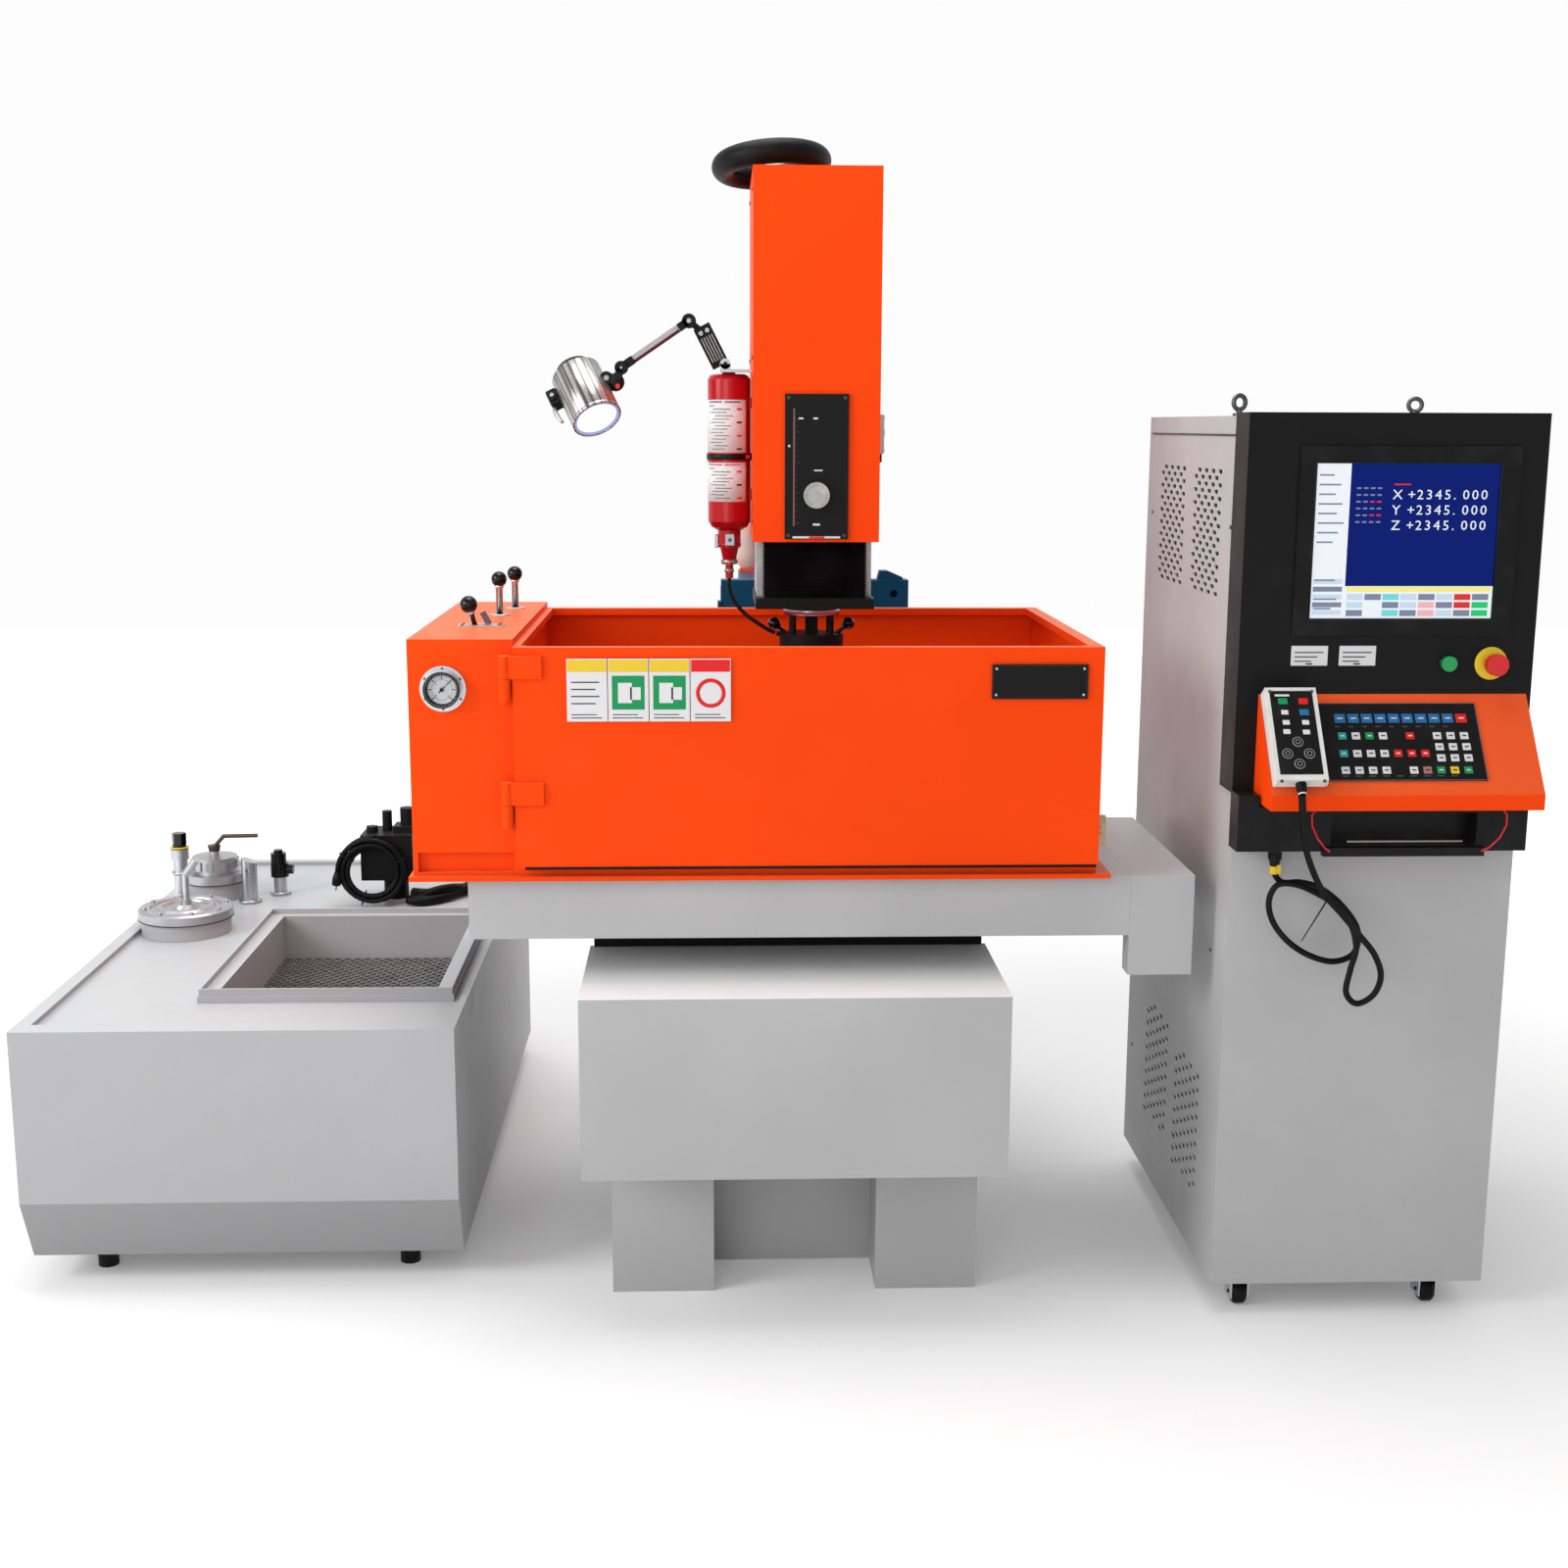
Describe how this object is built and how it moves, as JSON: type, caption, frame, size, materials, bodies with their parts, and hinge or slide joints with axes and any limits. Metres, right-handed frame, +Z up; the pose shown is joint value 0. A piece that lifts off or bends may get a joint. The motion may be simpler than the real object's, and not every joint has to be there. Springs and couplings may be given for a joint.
{
  "type": "sinker electrical discharge machine",
  "caption": "Die-sinker electrical discharge machine: work tank on a cross-slide table, ram head on a column, dielectric reservoir at the left and wheeled control cabinet at the right.",
  "frame": {"origin": "middle of the machine's footprint at floor level, measured without the free cables", "axes": "+Z up; the operator stands at -Y and faces +Y; +X to the operator's right, towards the control cabinet"},
  "size_m": [2.845, 1.7819, 2.2409],
  "materials": {
    "light_paint": "satin",
    "deck_paint": "satin",
    "orange_paint": "satin",
    "blue_paint": "satin",
    "black_paint": "fine texture",
    "red_paint": "gloss",
    "bright_steel": "ground",
    "cast_aluminium": "turned",
    "chrome": "polished",
    "bronze": "tarnished",
    "black_rubber": "matt",
    "black_plastic": "fine texture",
    "gloss_black": "gloss",
    "grey_plastic": "fine texture",
    "jar_plastic": "translucent",
    "red_plastic": "gloss",
    "green_plastic": "gloss"
  },
  "bodies": {
    "machine": {"base_casting": "light_paint", "front_cover": "light_paint", "axis_servo_drives": "black_paint", "column_pedestal": "blue_paint", "column": "orange_paint", "head_housing": "orange_paint", "head_panel": "black_paint", "cable_conduit": "black_rubber", "extinguisher": "red_paint", "extinguisher_hose": "black_rubber", "lubricator": "jar_plastic", "reservoir_tank": "deck_paint", "filter_pots": "light_paint", "filter_lids": "cast_aluminium", "riser_pipes": "bright_steel", "strainer_basket": "deck_paint", "circulation_pump": "black_paint", "pump_cable": "black_rubber", "cabinet_frame": "light_paint", "side_panels": "light_paint", "front_bezel": "black_paint", "monitor": "black_plastic", "console": "orange_paint", "keypad": "black_plastic", "lower_fairing": "black_plastic", "pendant": "grey_plastic", "pendant_cable": "black_rubber", "cable_connector": "black_plastic", "eye_bolts": "bright_steel", "caster_forks": "bright_steel", "fairing_cords": "red_plastic"},
    "saddle": {"saddle": "black_paint"},
    "table": {"table": "light_paint", "table_drive": "light_paint", "work_table": "bright_steel", "work_tank": "orange_paint", "pressure_gauge": "bright_steel"},
    "needle": {"gauge_needle": "black_plastic"},
    "flow_lever": {"flow_lever": "gloss_black"},
    "fill_rod": {"fill_rod": "gloss_black"},
    "drain_rod": {"drain_rod": "gloss_black"},
    "door": {"tank_door": "orange_paint", "door_seal": "black_rubber"},
    "latch": {"door_latch": "bronze"},
    "ram": {"ram": "bright_steel", "bellows": "black_rubber", "electrode_head": "black_paint"},
    "left_knob": {"left_chuck_knob": "gloss_black"},
    "right_knob": {"right_chuck_knob": "gloss_black"},
    "dial": {"head_dial": "cast_aluminium"},
    "lamp_link": {"lamp_link": "gloss_black"},
    "lamp_arm": {"lamp_arm": "bright_steel"},
    "lamp_head": {"lamp_head": "chrome"},
    "clamp": {"clamp_handle": "bronze"},
    "return_knob": {"return_valve_knob": "gloss_black"},
    "drain_knob": {"drain_valve_knob": "gloss_black"},
    "estop": {"estop_cap": "red_plastic"},
    "start": {"start_button": "green_plastic"},
    "front_axle": {"front_wheels": "black_rubber"},
    "rear_axle": {"rear_wheels": "black_rubber"}
  },
  "joints": [
    {"name": "saddle_slide", "type": "slide", "parent": "machine", "child": "saddle", "axis": [0, 1, 0], "range_m": [-0.17, 0.25]},
    {"name": "table_slide", "type": "slide", "parent": "saddle", "child": "table", "axis": [1, 0, 0], "range_m": [-0.3, 0.04]},
    {"name": "ram_slide", "type": "slide", "parent": "machine", "child": "ram", "axis": [0, 0, 1], "range_m": [-0.22, 0.06], "deforming": ["bellows", "extinguisher_hose"]},
    {"name": "door_hinge", "type": "hinge", "parent": "table", "child": "door", "pos_m": [-0.4475, -0.69304, 1.1], "axis": [0, 0, -1], "range_deg": [0, 110]},
    {"name": "latch_turn", "type": "hinge", "parent": "table", "child": "latch", "pos_m": [0.6535, -0.63204, 0.942], "axis": [1, 0, 0], "range_deg": [0, 90]},
    {"name": "needle_turn", "type": "hinge", "parent": "table", "child": "needle", "pos_m": [-0.5615, -0.68704, 1.216], "axis": [0, 1, 0], "range_deg": [-180, 90], "stiffness_Nm_per_rad": 0.0005},
    {"name": "flow_lever_turn", "type": "hinge", "parent": "table", "child": "flow_lever", "pos_m": [-0.5185, -0.42604, 1.266], "axis": [0, 1, 0], "range_deg": [0, 36]},
    {"name": "fill_rod_slide", "type": "slide", "parent": "table", "child": "fill_rod", "axis": [0, 0, 1], "range_m": [0, 0.05]},
    {"name": "drain_rod_slide", "type": "slide", "parent": "table", "child": "drain_rod", "axis": [0, 0, 1], "range_m": [0, 0.05]},
    {"name": "left_knob_turn", "type": "hinge", "parent": "ram", "child": "left_knob", "pos_m": [0.0885, -0.26704, 1.266], "axis": [-0.766, 0, 0.6428], "continuous": true},
    {"name": "right_knob_turn", "type": "hinge", "parent": "ram", "child": "right_knob", "pos_m": [0.1725, -0.26704, 1.266], "axis": [0.766, 0, 0.6428], "continuous": true},
    {"name": "dial_turn", "type": "hinge", "parent": "machine", "child": "dial", "pos_m": [0.1305, -0.44704, 1.558], "axis": [0, 1, 0], "range_deg": [-150, 150]},
    {"name": "lamp_link_tilt", "type": "hinge", "parent": "machine", "child": "lamp_link", "pos_m": [-0.0435, -0.29704, 1.808], "axis": [0, 1, 0], "range_deg": [-15, 20]},
    {"name": "lamp_arm_tilt", "type": "hinge", "parent": "lamp_link", "child": "lamp_arm", "pos_m": [-0.1145, -0.29704, 1.89], "axis": [0, 1, 0], "range_deg": [-10, 30]},
    {"name": "lamp_head_tilt", "type": "hinge", "parent": "lamp_arm", "child": "lamp_head", "pos_m": [-0.2475, -0.29704, 1.8], "axis": [0, 1, 0], "range_deg": [-20, 35]},
    {"name": "clamp_turn", "type": "hinge", "parent": "machine", "child": "clamp", "pos_m": [-1.3045, 0.52096, 0.64], "axis": [0, 0, 1], "range_deg": [-120, 120]},
    {"name": "return_knob_turn", "type": "hinge", "parent": "machine", "child": "return_knob", "pos_m": [-1.3315, 0.31696, 0.71], "axis": [0, 0, 1], "continuous": true},
    {"name": "drain_knob_turn", "type": "hinge", "parent": "machine", "child": "drain_knob", "pos_m": [-1.1515, 0.54396, 0.6], "axis": [0, 0, 1], "range_deg": [0, 90]},
    {"name": "estop_press", "type": "slide", "parent": "machine", "child": "estop", "axis": [0, 1, 0], "range_m": [0, 0.004], "stiffness_N_per_m": 1500},
    {"name": "start_press", "type": "slide", "parent": "machine", "child": "start", "axis": [0, 1, 0], "range_m": [0, 0.003], "stiffness_N_per_m": 600},
    {"name": "front_axle_roll", "type": "hinge", "parent": "machine", "child": "front_axle", "pos_m": [0.9545, -0.67704, 0.024], "axis": [1, 0, 0], "continuous": true},
    {"name": "rear_axle_roll", "type": "hinge", "parent": "machine", "child": "rear_axle", "pos_m": [0.9545, -0.00704, 0.024], "axis": [1, 0, 0], "continuous": true}
  ]
}
